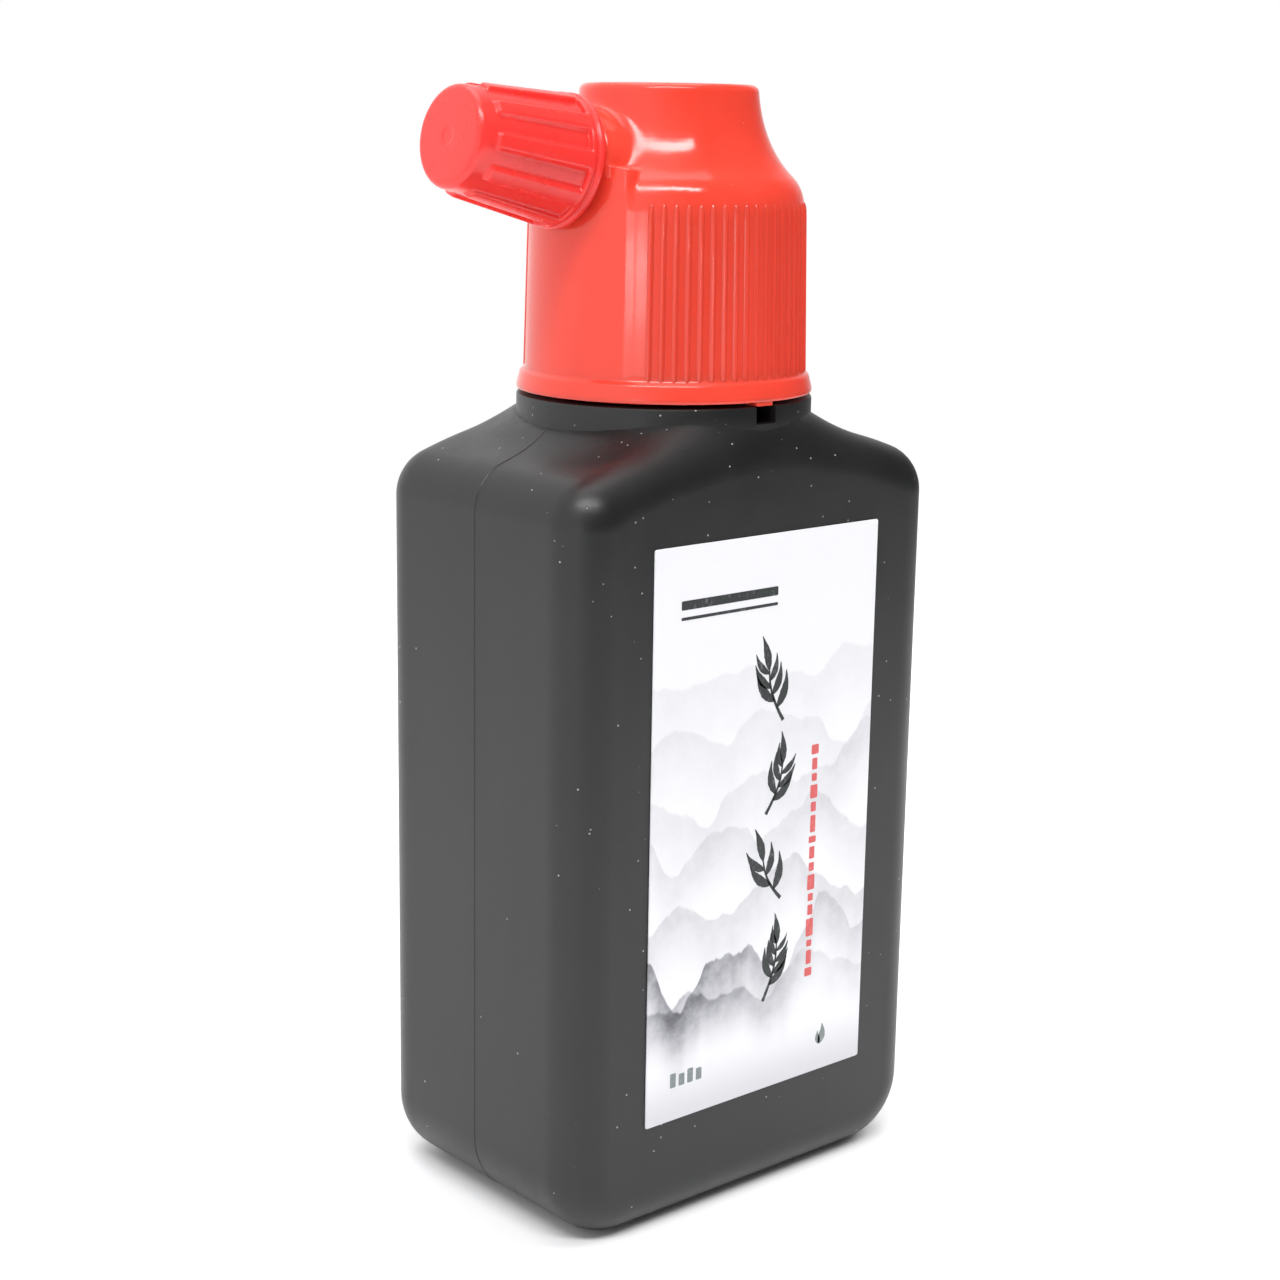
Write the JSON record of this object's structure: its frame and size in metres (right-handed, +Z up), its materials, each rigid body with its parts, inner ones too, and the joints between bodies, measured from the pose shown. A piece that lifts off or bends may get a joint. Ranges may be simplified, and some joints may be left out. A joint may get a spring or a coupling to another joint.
{
  "type": "ink bottle",
  "caption": "Black slab-shaped ink bottle with an arched shoulder, white labels, a red ribbed screw cap with a side spout, and a small ribbed spout cap.",
  "frame": {"origin": "centre of the flat foot of the bottle, on the axis of its neck", "axes": "+X along the width, so the spout points towards -X; the front label faces -Y; +Z up along the neck"},
  "size_m": [0.0517, 0.0326, 0.1124],
  "materials": {
    "black_plastic": "fine satin texture",
    "label_paper": "coated, printed",
    "seal_foam": "soft",
    "red_plastic": "glossy, slightly translucent",
    "natural_plastic": "milky",
    "pink_red_plastic": "satin, slightly translucent"
  },
  "bodies": {
    "bottle": {"bottle_body": "black_plastic", "front_label": "label_paper", "back_label": "label_paper"},
    "neck_liner": {"neck_seal": "seal_foam"},
    "cap": {"main_cap": "red_plastic", "spout_nozzle": "natural_plastic"},
    "spout_liner": {"spout_seal": "seal_foam"},
    "spout_closure": {"spout_cap": "pink_red_plastic"}
  },
  "joints": [
    {"name": "cap_lift", "type": "slide", "parent": "bottle", "child": "neck_liner", "axis": [0, 0, 1], "range_m": [0, 0.01575]},
    {"name": "cap_turn", "type": "hinge", "parent": "neck_liner", "child": "cap", "pos_m": [0, 0, 0.0824], "axis": [0, 0, 1], "range_deg": [0, 1890]},
    {"name": "spout_cap_slide", "type": "slide", "parent": "cap", "child": "spout_liner", "axis": [-0.985, 0, 0.1724], "range_m": [0, 0.012]},
    {"name": "spout_cap_turn", "type": "hinge", "parent": "spout_liner", "child": "spout_closure", "pos_m": [-0.01345, 0, 0.1048], "axis": [-0.985, 0, 0.1724], "range_deg": [0, 1800]}
  ],
  "couplings": [
    {"joint": "cap_turn", "follows": "cap_lift", "rad_per_m": 2094.4},
    {"joint": "spout_cap_turn", "follows": "spout_cap_slide", "rad_per_m": 2618}
  ]
}
